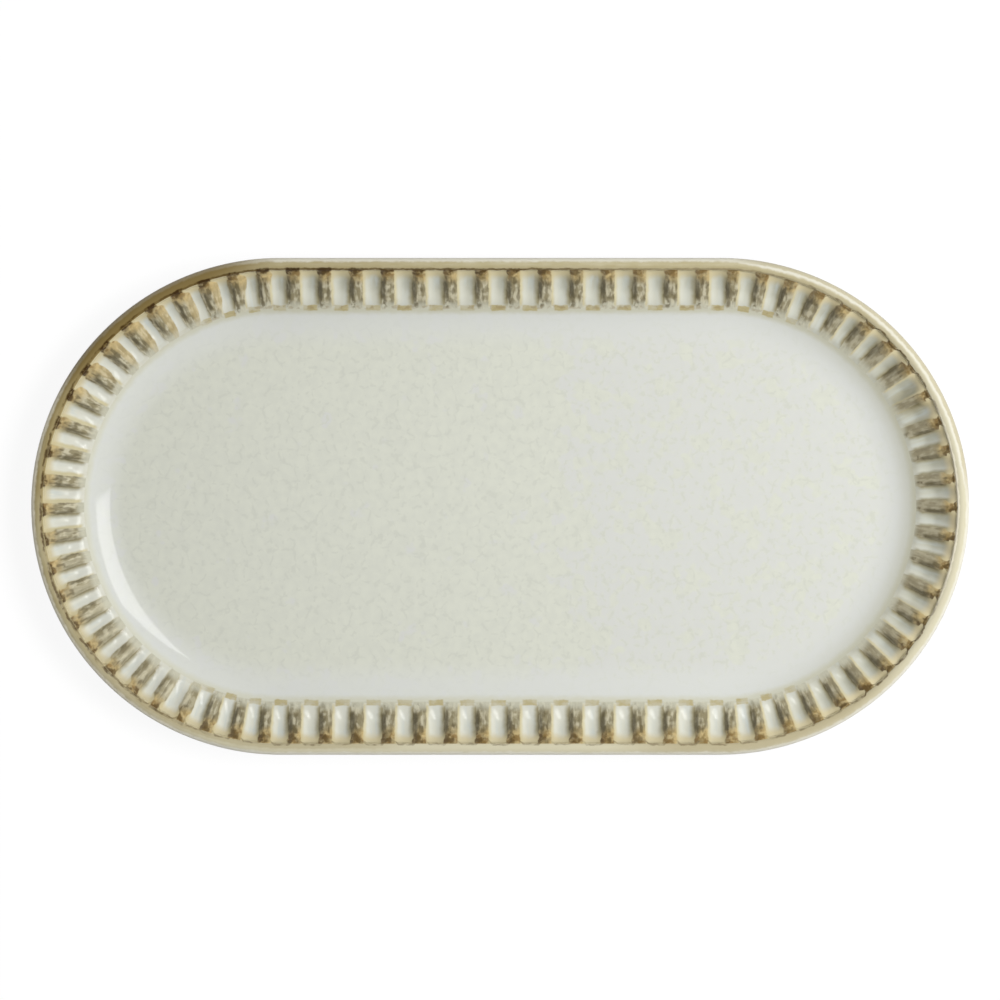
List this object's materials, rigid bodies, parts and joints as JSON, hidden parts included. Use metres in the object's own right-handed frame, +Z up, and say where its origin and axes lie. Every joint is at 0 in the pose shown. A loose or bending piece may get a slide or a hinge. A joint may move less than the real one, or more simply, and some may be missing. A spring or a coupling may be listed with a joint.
{
  "type": "oblong tray",
  "caption": "Oblong stoneware serving tray with rounded ends, a shallow coved well, a fluted rim in reactive glaze, a round lip and a bare foot ring.",
  "frame": {"origin": "centre of the tray's plan, on the plane that the foot ring stands on", "axes": "+X along the tray's length, +Y across it, +Z up out of the well"},
  "size_m": [0.305, 0.162, 0.019],
  "materials": {
    "stoneware": "matte",
    "ivory_glaze": "gloss",
    "reactive_glaze": "gloss",
    "honey_glaze": "gloss"
  },
  "bodies": {
    "root": {"clay_body": "stoneware", "well_glaze": "ivory_glaze", "flute_glaze": "reactive_glaze", "lip_glaze": "honey_glaze", "outer_wall_glaze": "ivory_glaze", "base_glaze": "ivory_glaze"}
  },
  "joints": []
}
